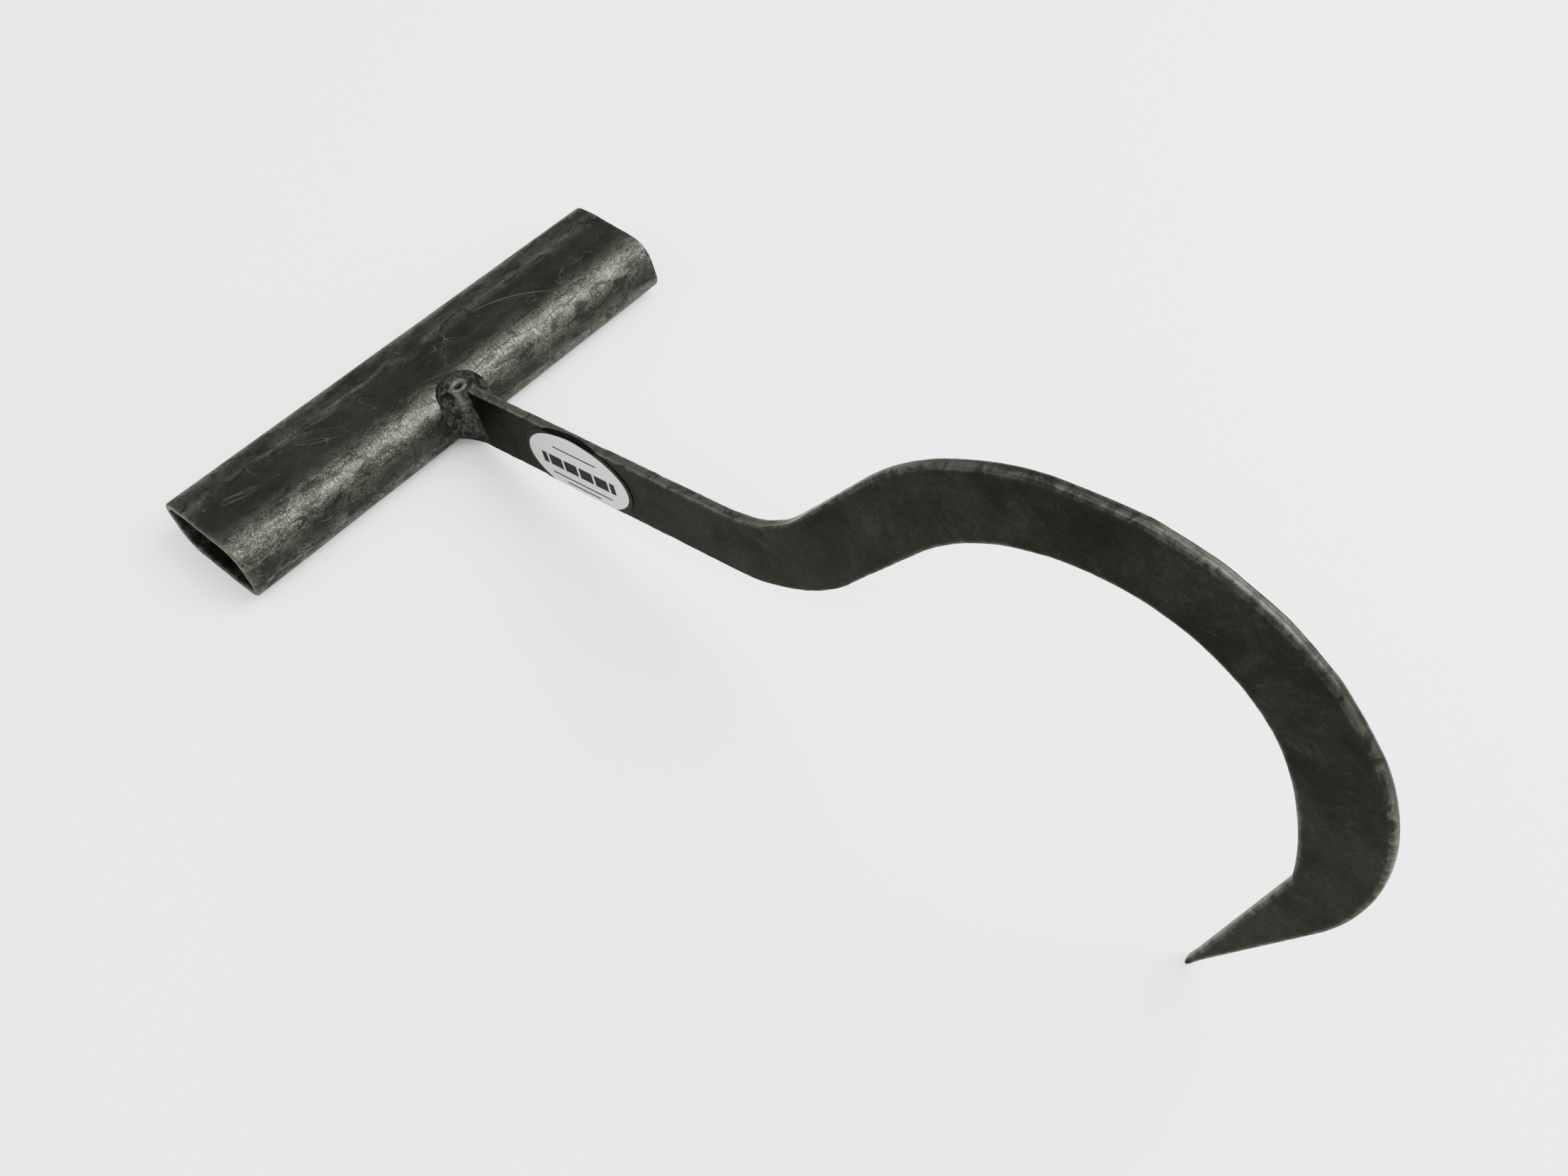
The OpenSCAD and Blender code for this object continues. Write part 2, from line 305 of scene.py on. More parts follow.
@dataclass(frozen=True)
class BarSteel:
    """Forged bar: matt black mottled faces, ground narrow faces, rubbed creases.

    Clouds, mottles and the like count blotches to a metre. Depths are in metres.
    """

    scale_dark: Point3 = (0.0038, 0.0040, 0.0031)
    scale_mid: Point3 = (0.0100, 0.0104, 0.0084)
    ground: Point3 = (0.0460, 0.0470, 0.0400)
    bare: Point3 = (0.075, 0.077, 0.066)
    clouds: float = 70.0
    mottles: float = 240.0
    worm_count: float = 560.0
    fines: float = 2400.0
    strokes: float = 900.0
    stroke_squeeze: float = 2.2
    stroke_shift: float = 0.001
    dent: float = 0.00007
    mark: float = 0.00004
    grit: float = 0.000012

    def make(self) -> bpy.types.Material:
        """Builds the material."""
        g = Graph("bar_steel")
        here = g.place()
        run, wear, narrow = g.painted("run"), g.painted("wear"), g.painted("narrow")
        cloud = g.grain(here, self.clouds, 4.0, 0.6, 0.5)
        mottle = g.grain(here, self.mottles, 4.0, 0.62, 1.4)
        worms = g.grain(here, self.worm_count, 2.0, 0.5, 2.8).rise(0.50, 0.68)
        fine = g.grain(here, self.fines, 2.0, 0.6)
        lengthwise = g.joined(run * self.stroke_squeeze, 0.0, narrow * self.stroke_shift)
        stroke = g.grain(lengthwise, self.strokes, 3.0, 0.7)
        hairs = g.hairs(g.turned(here, (1.0, 1.0, 1.0), (12.0, 5.0, 40.0)), 85.0, 0.006, 1.2)
        hairs = hairs * g.grain(here, 130.0, 1.0).rise(0.50, 0.62)
        flat = g.blend(cloud.rise(0.32, 0.70) * 0.6, self.scale_dark, self.scale_mid)
        rub = (mottle.rise(0.46, 0.72) * 0.5 + worms * 0.28) * cloud.rise(0.30, 0.66)
        flat = g.blend((rub * 0.30).held(), flat, self.ground)
        flat = g.blend(hairs * 0.08, flat, self.bare)
        edge = g.blend(mottle.rise(0.30, 0.60) * 0.65 + stroke * 0.35, self.scale_mid, self.ground)
        base = g.blend(narrow, flat, edge)
        crease = (wear * (0.25 + mottle.rise(0.36, 0.62) * 0.9)).held()
        base = g.blend(crease * (0.35 + narrow * 0.5), base, self.bare)
        rough = 0.52 + (mottle - 0.5) * 0.24 - narrow * 0.08 - crease * 0.12 + (fine - 0.5) * 0.14
        normal = g.bumps(mottle, self.dent)
        normal = g.bumps(stroke * narrow + worms * 0.25, self.mark, normal)
        normal = g.bumps(fine - hairs * 0.8, self.grit, normal)
        g.shade(base, rough.held(), 1.0, normal, Specular_Tint=DULL_RIM)
        return g.material


@dataclass(frozen=True)
class WeldSteel:
    """As-laid weld bead: dark, slightly blued, with a rubbed crown and pits; the crater gets painted
    shade inside and a painted highlight round its edge.
    """

    dark: Point3 = (0.0080, 0.0081, 0.0068)
    mid: Point3 = (0.0270, 0.0278, 0.0235)
    bare: Point3 = (0.095, 0.097, 0.085)
    clouds: float = 420.0
    pit_count: float = 900.0
    fines: float = 2200.0
    dent: float = 0.00008
    pitting: float = 0.00005

    def make(self) -> bpy.types.Material:
        """Builds the material."""
        g = Graph("weld_steel")
        here = g.place()
        crown, pit, rim = g.painted("crown"), g.painted("pit"), g.painted("rim")
        cloud = g.grain(here, self.clouds, 3.0, 0.6, 1.6)
        pits = g.grain(here, self.pit_count, 2.0, 0.5, 0.6).rise(0.36, 0.27)
        fine = g.grain(here, self.fines, 2.0, 0.6)
        base = g.blend(cloud.rise(0.36, 0.66), self.dark, self.mid)
        base = g.blend((crown * cloud.rise(0.42, 0.66)).held() * 0.35, base, self.bare)
        # Painted highlight on the ring round the crater.
        base = g.blend((rim * (0.3 + cloud)).held() * 0.8, base, self.bare)
        # Pits darken by noise; the crater mask adds painted shade inside the crater.
        base = g.blend((pits * 0.7).most(pit), base, self.dark)
        rough = 0.44 + (cloud - 0.5) * 0.3 + pits * 0.2 + (fine - 0.5) * 0.12
        normal = g.bumps(cloud, self.dent)
        normal = g.bumps(fine * 0.3 - pits, self.pitting, normal)
        g.shade(base, rough.held(), 1.0, normal, Specular_Tint=DULL_RIM)
        return g.material


@dataclass(frozen=True)
class LabelPrint:
    """Silver film with a black border and a plain printed pattern of bars."""

    silver: Point3 = (0.40, 0.41, 0.40)
    ink: Point3 = (0.004, 0.004, 0.004)
    scuffed_silver: Point3 = (0.30, 0.30, 0.29)
    scuffed_ink: Point3 = (0.02, 0.02, 0.019)
    field_long: float = 0.01806
    field_short: float = 0.01024
    block_long: float = 0.0135
    block_at: float = -0.0004
    block_half: float = 0.0019
    block_pitch: float = 0.0056
    lines: tuple[Point2, ...] = ((0.0080, 0.0050), (0.0112, -0.0049), (0.0062, -0.0067))
    line_half: float = 0.00030
    soft: float = 0.00006

    def make(self) -> bpy.types.Material:
        """Builds the material."""
        g = Graph("label_print")
        here = g.place()
        along, up = g.painted("print_x"), g.painted("print_y")
        ring = ((along / self.field_long).power(2.0) + (up / self.field_short).power(2.0)).power(0.5)
        silver = ring.rise(1.015, 0.99)
        block = self._stripe(along, up, self.block_long, self.block_at, self.block_half)
        ink = block * ((along / self.block_pitch + 0.5).over() - 0.5).size().rise(0.05, 0.07)
        for half_long, middle in self.lines:
            ink = ink.most(self._stripe(along, up, half_long, middle, self.line_half))
        ink = ink * silver
        scuff = g.grain(here, 420.0, 4.0, 0.65, 0.8).rise(0.58, 0.75) * 0.35
        fine = g.grain(here, 1800.0, 2.0, 0.6)
        paper = g.blend(scuff, self.silver, self.scuffed_silver)
        black = g.blend(scuff, self.ink, self.scuffed_ink)
        base = g.blend((1.0 - silver).most(ink), paper, black)
        rough = 0.40 + scuff * 0.3 + (fine - 0.5) * 0.08
        normal = g.bumps(g.grain(here, 300.0, 2.0), 0.00002)
        g.shade(base, rough.held(), 1.0, normal, Specular_Tint=DULL_RIM)
        return g.material

    def _stripe(self, along: Wire, up: Wire, half_x: float, y: float, half_y: float) -> Wire:
        """A printed bar, 1 on it and 0 off it, midway along the label and y across it."""
        inside = along.size().rise(half_x + self.soft, half_x - self.soft)
        return inside * (up - y).size().rise(half_y + self.soft, half_y - self.soft)


@dataclass(frozen=True)
class BenchPaint:
    """Plain pale studio surface."""

    pale: Point3 = (0.90, 0.90, 0.90)

    def make(self) -> bpy.types.Material:
        """Builds the material."""
        g = Graph("bench_paint")
        cloud = g.grain(g.place(), 3.0, 2.0)
        base = g.blend(cloud, self.pale, tuple(c * 0.99 for c in self.pale))
        g.shade(base, cloud * 0.1 + 0.8, 0.0, g.bumps(cloud, 0.0001))
        return g.material


class Finish(Enum):
    """The finishes, each with the record's material slot that it goes with."""

    GRIP = ("grip_steel", GripSteel())
    BAR = ("bar_steel", BarSteel())
    WELD = ("weld_steel", WeldSteel())
    LABEL = ("label_vinyl", LabelPrint())

    def put_on(self, piece: bpy.types.Object) -> None:
        """Dresses a piece in this finish."""
        slot, finish = self.value
        piece.data.materials.append(finish.make())


# ---------------------------------------------------------------- meshes


@dataclass
class Skin:
    """Points, faces and painted numbers of a mesh that is being drawn."""

    points: list[Vector] = field(default_factory=list)
    faces: list[tuple[int, ...]] = field(default_factory=list)
    paint: dict[str, list[float]] = field(default_factory=dict)

    def ring(self, points: Sequence[Vector], **paint: Sequence[float]) -> list[int]:
        """Adds a ring of points, each with its painted numbers, and gives the points' places."""
        first = len(self.points)
        self.points.extend(points)
        for name, values in paint.items():
            self.paint.setdefault(name, []).extend(values)
        return list(range(first, len(self.points)))

    def bridge(self, one: Sequence[int], other: Sequence[int], closed: bool = True) -> None:
        """Joins two rings with faces; a closed ring joins up with its own start."""
        count = len(one)
        for i in range(count if closed else count - 1):
            j = (i + 1) % count
            self.faces.append((one[i], one[j], other[j], other[i]))

    def cap(self, ring: Sequence[int], flip: bool = False) -> None:
        """Closes a ring with one face."""
        self.faces.append(tuple(reversed(ring)) if flip else tuple(ring))

    def build(self, name: str, sharp: float = 50.0) -> bpy.types.Object:
        """Makes the object.

        Args:
            name: Its name.
            sharp: Angle above which an edge looks sharp, in degrees.

        Returns:
            The object.
        """
        mesh = bpy.data.meshes.new(name)
        mesh.from_pydata([tuple(p) for p in self.points], [], self.faces)
        mesh.validate()
        for key, values in self.paint.items():
            mesh.attributes.new(key, "FLOAT", "POINT").data.foreach_set("value", values)
        mesh.shade_smooth()
        mesh.set_sharp_from_angle(angle=math.radians(sharp))
        piece = bpy.data.objects.new(name, mesh)
        bpy.context.scene.collection.objects.link(piece)
        return piece


def ripple(x: float, y: float, z: float, size: float) -> float:
    """Soft repeatable noise from about -1 to 1, with waves of a size in millimetres."""
    return noise.noise(Vector((x, y, z)) / size)


def smooth(low: float, high: float, value: float) -> float:
    """Smooth step from 0 at low to 1 at high."""
    share = min(1.0, max(0.0, (value - low) / (high - low)))
    return share * share * (3.0 - 2.0 * share)


def mixed(one: float, other: float, share: float) -> float:
    """The value a share of the way from one to the other."""
    return one + (other - one) * share


# ---------------------------------------------------------------- the tool


@dataclass
class Grip:
    """The crosswise grip: a tube pressed to a flattened section with sawn ends."""

    length: float = 150.0
    width: float = 31.8
    height: float = 20.4
    wall: float = 2.0
    tight_r: float = 4.5
    wide_r: float = 8.3
    wide_in: float = 0.6
    wide_drop: float = 3.4
    lip_r: float = 0.55
    bore_lip_r: float = 0.3
    around: int = 150
    rows: int = 66
    dense_steps: int = 1440
    dense_gap: float = 0.25
    flat_share: float = 1.25
    turn_share: float = 6.0
    round_gap: float = 0.12
    blur: int = 12
    ragged: Point2 = (0.07, 0.05)
    weld_at: Point2 = (15.0, 0.0)
    burnt: Point2 = (8.0, 17.0)

    @property
    def tight_c(self) -> Point2:
        """Middle of the tight corner at the lower front."""
        return self.width / 2 - self.tight_r, -(self.height / 2 - self.tight_r)

    @property
    def wide_c(self) -> Point2:
        """Middle of the wide corner at the upper front."""
        x = self.width / 2 - self.wide_in - self.wide_r
        return x, self.height / 2 - self.wide_drop - self.wide_r

    def touch(self, angle: float) -> tuple[Point2, Point2]:
        """Where a flat held square to a direction touches the section.

        Args:
            angle: The direction, in radians from X towards Z.

        Returns:
            The point touched, and the direction as a unit vector.
        """
        way = (math.cos(angle), math.sin(angle))
        tight, wide = self.tight_c, self.wide_c
        rounds = [
            (tight, self.tight_r),
            (wide, self.wide_r),
            ((-tight[0], -tight[1]), self.tight_r),
            ((-wide[0], -wide[1]), self.wide_r),
        ]
        middle, radius = max(rounds, key=lambda r: r[0][0] * way[0] + r[0][1] * way[1] + r[1])
        return (middle[0] + radius * way[0], middle[1] + radius * way[1]), way

    def outline(self) -> TubeLine:
        """The section's outside, evenly shared between length and turning.

        Returns:
            Points, their outward directions, and how curved the outline is there.
        """
        dense: list[tuple[Point2, Point2]] = []
        for k in range(self.dense_steps + 1):
            spot, way = self.touch(2 * math.pi * k / self.dense_steps - math.pi)
            if dense:
                last, _ = dense[-1]
                count = int(math.dist(last, spot) / self.dense_gap)
                for i in range(1, count):
                    share = i / count
                    between = (mixed(last[0], spot[0], share), mixed(last[1], spot[1], share))
                    dense.append((between, way))
            dense.append((spot, way))
        measure, bend = [0.0], [0.0]
        for (p, n), (q, m) in zip(dense, dense[1:]):
            turn = math.acos(min(1.0, n[0] * m[0] + n[1] * m[1]))
            gap = math.dist(p, q)
            measure.append(measure[-1] + gap / self.flat_share + math.degrees(turn) / self.turn_share)
            bend.append(1.0 if gap < self.round_gap else 0.0)
        out, at = [], 0
        for k in range(self.around):
            goal = measure[-1] * k / self.around
            while measure[at + 1] < goal:
                at += 1
            near = bend[max(0, at - self.blur) : at + self.blur + 1]
            out.append((*dense[at], sum(near) / (2 * self.blur + 1)))
        return out

    def profile(self) -> list[Point3]:
        """The wall cut lengthwise: once round, from the near end's outer lip.

        Returns:
            Places along the grip, depths into the wall, and how worn each is.
        """
        half = self.length / 2
        quarter = [math.radians(a) for a in (0, 22.5, 45, 67.5, 90)]
        lip, bore = self.lip_r, self.bore_lip_r
        end = [
            (half - lip + lip * math.sin(a), lip - lip * math.cos(a), 0.12 + 0.5 * math.sin(2 * a))
            for a in quarter
        ]
        end += [(half, mixed(lip, self.wall - bore, s), 0.10) for s in (0.33, 0.67)]
        end += [
            (half - bore + bore * math.cos(a), self.wall - bore + bore * math.sin(a), 0.55)
            for a in quarter
        ]
        inner = [half - bore - 0.8, half - bore - 2.5]
        outer = [half - lip - 0.45, half - lip - 1.4, half - lip - 3.0]
        stations = [half - 5.0 - i * (self.length - 10.0) / self.rows for i in range(self.rows + 1)]
        bore_line = [(y, self.wall, 0.0) for y in inner + stations[::3] + [-y for y in reversed(inner)]]
        outer_line = [
            (y, 0.0, 0.12 if half - abs(y) < 1.2 else 0.0)
            for y in [-y for y in outer] + list(reversed(stations)) + list(reversed(outer))
        ]
        near = [(-y, depth, worn) for y, depth, worn in reversed(end)]
        return outer_line + end + bore_line + near

    def build(self, stance: "Stance") -> bpy.types.Object:
        """Makes the tube where the tool stands."""
        skin = Skin()
        outline = self.outline()
        half = self.length / 2
        rings = []
        for along, depth, worn in self.profile():
            points, curve, wear, heat, across, upper = [], [], [], [], [], []
            for (x, z), (nx, nz), bend in outline:
                sunk = depth + self._dents(x, along, z, depth)
                px, pz = x - nx * sunk, z - nz * sunk
                ragged = self.ragged[0] * (1 + ripple(x, z, along, 3.1))
                ragged += self.ragged[1] * (1 + ripple(x, z, 9.0, 0.9))
                near_end = smooth(half - 1.2, half, abs(along))
                y = along - math.copysign(ragged * near_end, along)
                points.append(stance.place(px, y, pz))
                curve.append(bend)
                away = math.dist((px, y, pz), (self.weld_at[0], 0.0, self.weld_at[1]))
                burnt = 1.0 - smooth(*self.burnt, away + 1.5 * ripple(px, y, pz, 4.0))
                # Burnt near the weld for the welding tint; deep in the wall this mask paints shade
                # inside the bore.
                heat.append(max(burnt, smooth(self.wall * 0.7, self.wall, depth)))
                wear.append(min(1.0, worn * (0.75 + 0.5 * ripple(x, y, z, 1.6))))
                across.append(px * MM)
                upper.append(float(nz > 0.5 and depth < 1.0))
            paint = {"curve": curve, "wear": wear, "heat": heat, "across": across, "upper": upper}
            rings.append(skin.ring(points, along=[along * MM] * len(points), **paint))
        for one, other in zip(rings, rings[1:] + rings[:1]):
            skin.bridge(other, one)
        return skin.build("grip_tube_shell")

    @staticmethod
    def _dents(x: float, y: float, z: float, depth: float) -> float:
        """How far the outside lies below the true section; nought inside the wall."""
        if depth > 1.0:
            return 0.0
        pressed = 0.16 * smooth(9.0, 2.0, abs(x + 1.0)) * (0.6 + 0.4 * ripple(0.0, y, 0.0, 30.0))
        waves = 0.05 * (1 + ripple(x, y * 0.4, z, 7.0)) + 0.018 * (1 + ripple(x, y, z, 2.2))
        return pressed + waves

    def dress(self, piece: bpy.types.Object) -> None:
        """Gives the tube its finish and its place in the frame."""
        Finish.GRIP.put_on(piece)
        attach(piece, BODY)
        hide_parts("grip_tube")


@dataclass(frozen=True)
class Station:
    """One cut across the bar: its two narrow faces and how far along the bar it is."""

    outer: Point2
    inner: Point2
    run: float


@dataclass
class HookBar:
    """The flat bar: shank, rise, shoulder, bowl and ground point, in one forged piece."""

    width: float = 19.0
    thick: float = 3.0
    drop: float = 2.7
    start: float = 15.1
    shank_end: float = 110.9
    rise_r: float = 44.5
    rise_a: float = 45.0
    rise_l: float = 29.5
    shoulder_r: float = 63.0
    shoulder_a: float = 54.0
    bowl_r: float = 52.0
    bowl_a: float = 114.0
    throat_r: float = 90.0
    throat_a: float = 50.0
    point_l: float = 52.0
    point_a: float = 13.0
    tip_r: float = 0.7
    step: float = 0.9
    crease: float = 0.5
    forged_crease: float = 1.0
    forged_from: Point2 = (125.0, 175.0)
    knuckles: tuple[float, ...] = (99.5, 80.5, 67.5, 54.9, 41.8, 26.0)
    flatness: float = 0.5
    tip_turns: tuple[int, ...] = (70, 52, 34, 18, 6)
    nick: float = 0.10
    lean: float = 0.10
    hollow: Point2 = (0.04, 0.014)

    def _move(self, at: Point2, heading: float, ahead: float, left: float = 0.0) -> Point2:
        """A point ahead and to the left of another, for a heading in degrees."""
        c, s = math.cos(math.radians(heading)), math.sin(math.radians(heading))
        return at[0] + c * ahead - s * left, at[1] + s * ahead + c * left

    def stretches(self) -> tuple[tuple[str, float, float], ...]:
        """The bar from the grip to the point.

        Returns:
            Each stretch's name, its radius (nought if straight) and its length or angle.
        """
        return (
            ("shank", 0.0, self.shank_end - self.start),
            ("rise_bend", self.rise_r, self.rise_a),
            ("rise", 0.0, self.rise_l),
            ("shoulder", self.shoulder_r, -self.shoulder_a),
            ("bowl", self.bowl_r, -(self.bowl_a - self.throat_a)),
            ("throat", self.bowl_r, -self.throat_a),
        )

    def plan(self) -> dict[str, tuple[Point2, float]]:
        """Where each stretch begins, and its heading there, by name."""
        places: dict[str, tuple[Point2, float]] = {}
        at, heading = (self.start, -self.drop), 0.0
        for name, radius, amount in self.stretches():
            places[name] = (at, heading)
            if radius:
                at, heading = self._bent(at, heading, radius, amount)
            else:
                at = self._move(at, heading, amount)
        places["point"] = (at, heading)
        return places

    def _bent(self, at: Point2, heading: float, radius: float, angle: float) -> tuple[Point2, float]:
        """The far end of a bend; a positive angle turns left."""
        side = math.copysign(1.0, angle)
        middle = self._move(at, heading, 0.0, side * radius)
        return self._move(middle, heading + angle, 0.0, -side * radius), heading + angle

    def tip_centre(self) -> Point2:
        """Middle of the round that blunts the point."""
        at, heading = self.plan()["point"]
        apex = self._move(at, heading, self.point_l, self.width / 2)
        back = self.tip_r / math.sin(math.radians(self.point_a / 2))
        return self._move(apex, heading + self.point_a / 2, -back)

    def bowl_centre(self) -> Point2:
        """Middle of the bowl's curve."""
        at, heading = self.plan()["bowl"]
        return self._move(at, heading, 0.0, -self.bowl_r)

    def stations(self) -> list[Station]:
        """Cuts across the bar from the grip to the tip.

        Returns:
            The cuts in order.
        """
        half = self.width / 2
        places = self.plan()
        cuts: list[Station] = []
        run = 0.0
        nudge = 1e-9
        for name, radius, amount in self.stretches():
            at, heading = places[name]
            length = math.radians(abs(amount)) * radius if radius else amount
            count = round(length / self.step)
            for k in range(count):
                if radius:
                    turned = amount * k / count + math.copysign(nudge, amount)
                    spot, way = self._bent(at, heading, radius, turned)
                else:
                    spot, way = self._move(at, heading, length * k / count), heading
                outer = self._move(spot, way, 0, half)
                if name in ("shoulder", "bowl", "throat"):
                    outer = self._hammered(outer)
                inner = self._opened(spot) if name == "throat" else self._move(spot, way, 0, -half)
                cuts.append(Station(outer, inner, run))
                run += length / count
        at, heading = places["point"]
        slope = math.tan(math.radians(self.point_a))
        lean = math.radians(self.point_a / 2)
        side = self.tip_r / math.tan(lean)
        last_outer, last_inner = self.point_l - side, self.point_l - side * math.cos(2 * lean)
        count = round(last_outer / (self.step * 0.8))
        for k in range(count + 1):
            x_out, x_in = last_outer * k / count, last_inner * k / count
            inner = self._move(at, heading, x_in, half - (self.point_l - x_in) * slope)
            cuts.append(Station(self._move(at, heading, x_out, half), inner, run))
            run += last_outer / count
        centre = self.tip_centre()
        bisector = heading + self.point_a / 2
        for turn in self.tip_turns:
            ahead = self.tip_r * math.cos(math.radians(turn))
            aside = self.tip_r * math.sin(math.radians(turn))
            outer, inner = (self._move(centre, bisector, ahead, side) for side in (aside, -aside))
            cuts.append(Station(outer, inner, run))
            run += 0.2
        return cuts

    def _hammered(self, outer: Point2) -> Point2:
        """Flattens the outer edge between the knuckles that the hammer left."""
        middle = self.bowl_centre()
        angle = math.degrees(math.atan2(outer[1] - middle[1], outer[0] - middle[0]))
        for high, low in zip(self.knuckles, self.knuckles[1:]):
            if low <= angle <= high:
                share = (angle - low) / (high - low)
                reach = math.dist(outer, middle)
                flat = reach * (1 - math.cos(math.radians(high - low) / 2))
                sunk = self.flatness * flat * (1 - (2 * share - 1) ** 2) / reach
                return mixed(outer[0], middle[0], sunk), mixed(outer[1], middle[1], sunk)
        return outer

    def _opened(self, spot: Point2) -> Point2:
        """The inner edge where the throat is opened out and the point's cut begins."""
        half, least_pace = self.width / 2, 1e-6
        at, heading = self.plan()["throat"]
        throat = self._move(at, heading, 0, -half - self.throat_r)
        end, end_way = self.plan()["point"]
        apex = self._move(end, end_way, self.point_l, half)
        cut = math.radians(end_way + self.point_a)
        bowl = self.bowl_centre()
        out = (spot[0] - bowl[0], spot[1] - bowl[1])
        reach = math.hypot(*out)
        ray = (out[0] / reach, out[1] / reach)
        rel = (bowl[0] - throat[0], bowl[1] - throat[1])
        b = ray[0] * rel[0] + ray[1] * rel[1]
        c = rel[0] ** 2 + rel[1] ** 2 - self.throat_r**2
        to_arc = -b + math.sqrt(b * b - c)
        normal = (-math.sin(cut), math.cos(cut))
        off = (apex[0] - bowl[0]) * normal[0] + (apex[1] - bowl[1]) * normal[1]
        pace = ray[0] * normal[0] + ray[1] * normal[1]
        to_cut = off / pace if pace > least_pace else math.inf
        hit = min(to_arc, to_cut)
        return bowl[0] + ray[0] * hit, bowl[1] + ray[1] * hit

    def section(self, width: float, crease: float) -> list[tuple[float, float, float, float]]:
        """The bar's cut: a rectangle with rounded creases.

        Args:
            width: Distance between the narrow faces.
            crease: Radius of the creases.

        Returns:
            Places across and through the bar, how worn each is, and whether it is narrow.
        """
        a, b = width / 2, self.thick / 2
        r = min(crease, 0.42 * width, 0.42 * self.thick)
        corners = ((-1, -1, 180.0), (1, -1, 270.0), (1, 1, 0.0), (-1, 1, 90.0))
        wide_gap = [0.35, 1.0]
        out: list[tuple[float, float, float, float]] = []
        for index, (su, sv, first) in enumerate(corners):
            for k, worn in ((0, 0.65), (1, 1.0), (2, 1.0), (3, 0.65)):
                angle = math.radians(first + 30.0 * k)
                u, v = su * (a - r) + r * math.cos(angle), sv * (b - r) + r * math.sin(angle)
                out.append((u, v, worn, 1.0 if abs(math.cos(angle)) > 0.7 else 0.0))
            flat = index % 2 == 0
            length = 2 * (a - r) if flat else 2 * (b - r)
            gaps = wide_gap if flat else [0.3]
            near = [g * min(1.0, length / (4 * sum(gaps))) for g in gaps]
            between = [length / 2]
            if flat:
                between = [near[-1] + (length - 2 * near[-1]) * s / 8 for s in range(1, 8)]
            places = near + between + [length - g for g in reversed(near)]
            for place in places:
                from_end = min(place, length - place)
                worn = 0.18 * max(0.0, 1 - from_end / 0.8)
                if flat:
                    u, v = (-(a - r) + place, -b) if sv < 0 else (a - r - place, b)
                else:
                    u, v = (a, -(b - r) + place) if su > 0 else (-a, b - r - place)
                out.append((u, v, worn, 0.0 if flat else 1.0))
        return out

    def build(self, stance: "Stance") -> bpy.types.Object:
        """Makes the bar where the tool stands."""
        skin = Skin()
        rings = []
        for cut in self.stations():
            width = math.dist(cut.outer, cut.inner)
            middle = ((cut.outer[0] + cut.inner[0]) / 2, (cut.outer[1] + cut.inner[1]) / 2)
            across = ((cut.outer[0] - cut.inner[0]) / width, (cut.outer[1] - cut.inner[1]) / width)
            forged = smooth(*self.forged_from, cut.run)
            uneven = mixed(1.0, 0.3, forged)
            crease = mixed(self.crease, self.forged_crease, forged)
            swell = 0.45 * ripple(cut.run, 3.0, 7.0, 6.0) + 0.25 * ripple(cut.run, 0, 0, 1.7)
            crease *= 1 + uneven * swell
            points, run, wear, narrow = [], [], [], []
            for u, v, worn, edge in self.section(width, crease):
                calm = smooth(0.6, 4.0, width)
                chip = max(0.0, ripple(cut.run, u, v * 2, 2.3))
                nick = self.nick * uneven * chip * min(1.0, worn) * calm
                hollow = self.hollow[0] * (1 + ripple(cut.run, u, v, 9.0))
                hollow = calm * (hollow + self.hollow[1] * (1 + ripple(cut.run, u, v, 2.4)))
                lean = self.lean * uneven * calm * (1 + ripple(cut.run, v * 3, u, 5.0)) * edge
                pu = u - math.copysign(nick + lean, u)
                pv = v - math.copysign(nick + hollow, v)
                spot = (middle[0] + across[0] * pu, pv, middle[1] + across[1] * pu)
                points.append(stance.place(*spot))
                run.append(cut.run * MM)
                wear.append(min(1.0, worn * (0.85 + 0.4 * ripple(cut.run, u, v, 3.0))))
                narrow.append(edge * (1 - 0.6 * forged))
            rings.append(skin.ring(points, run=run, wear=wear, narrow=narrow))
        for one, other in zip(rings, rings[1:]):
            skin.bridge(one, other)
        skin.cap(rings[0])
        skin.cap(rings[-1], flip=True)
        return skin.build("hook_bar_forged")

    def dress(self, piece: bpy.types.Object) -> None:
        """Gives the bar its finish and its place in the frame."""
        Finish.BAR.put_on(piece)
        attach(piece, BODY)
        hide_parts("hook_bar")


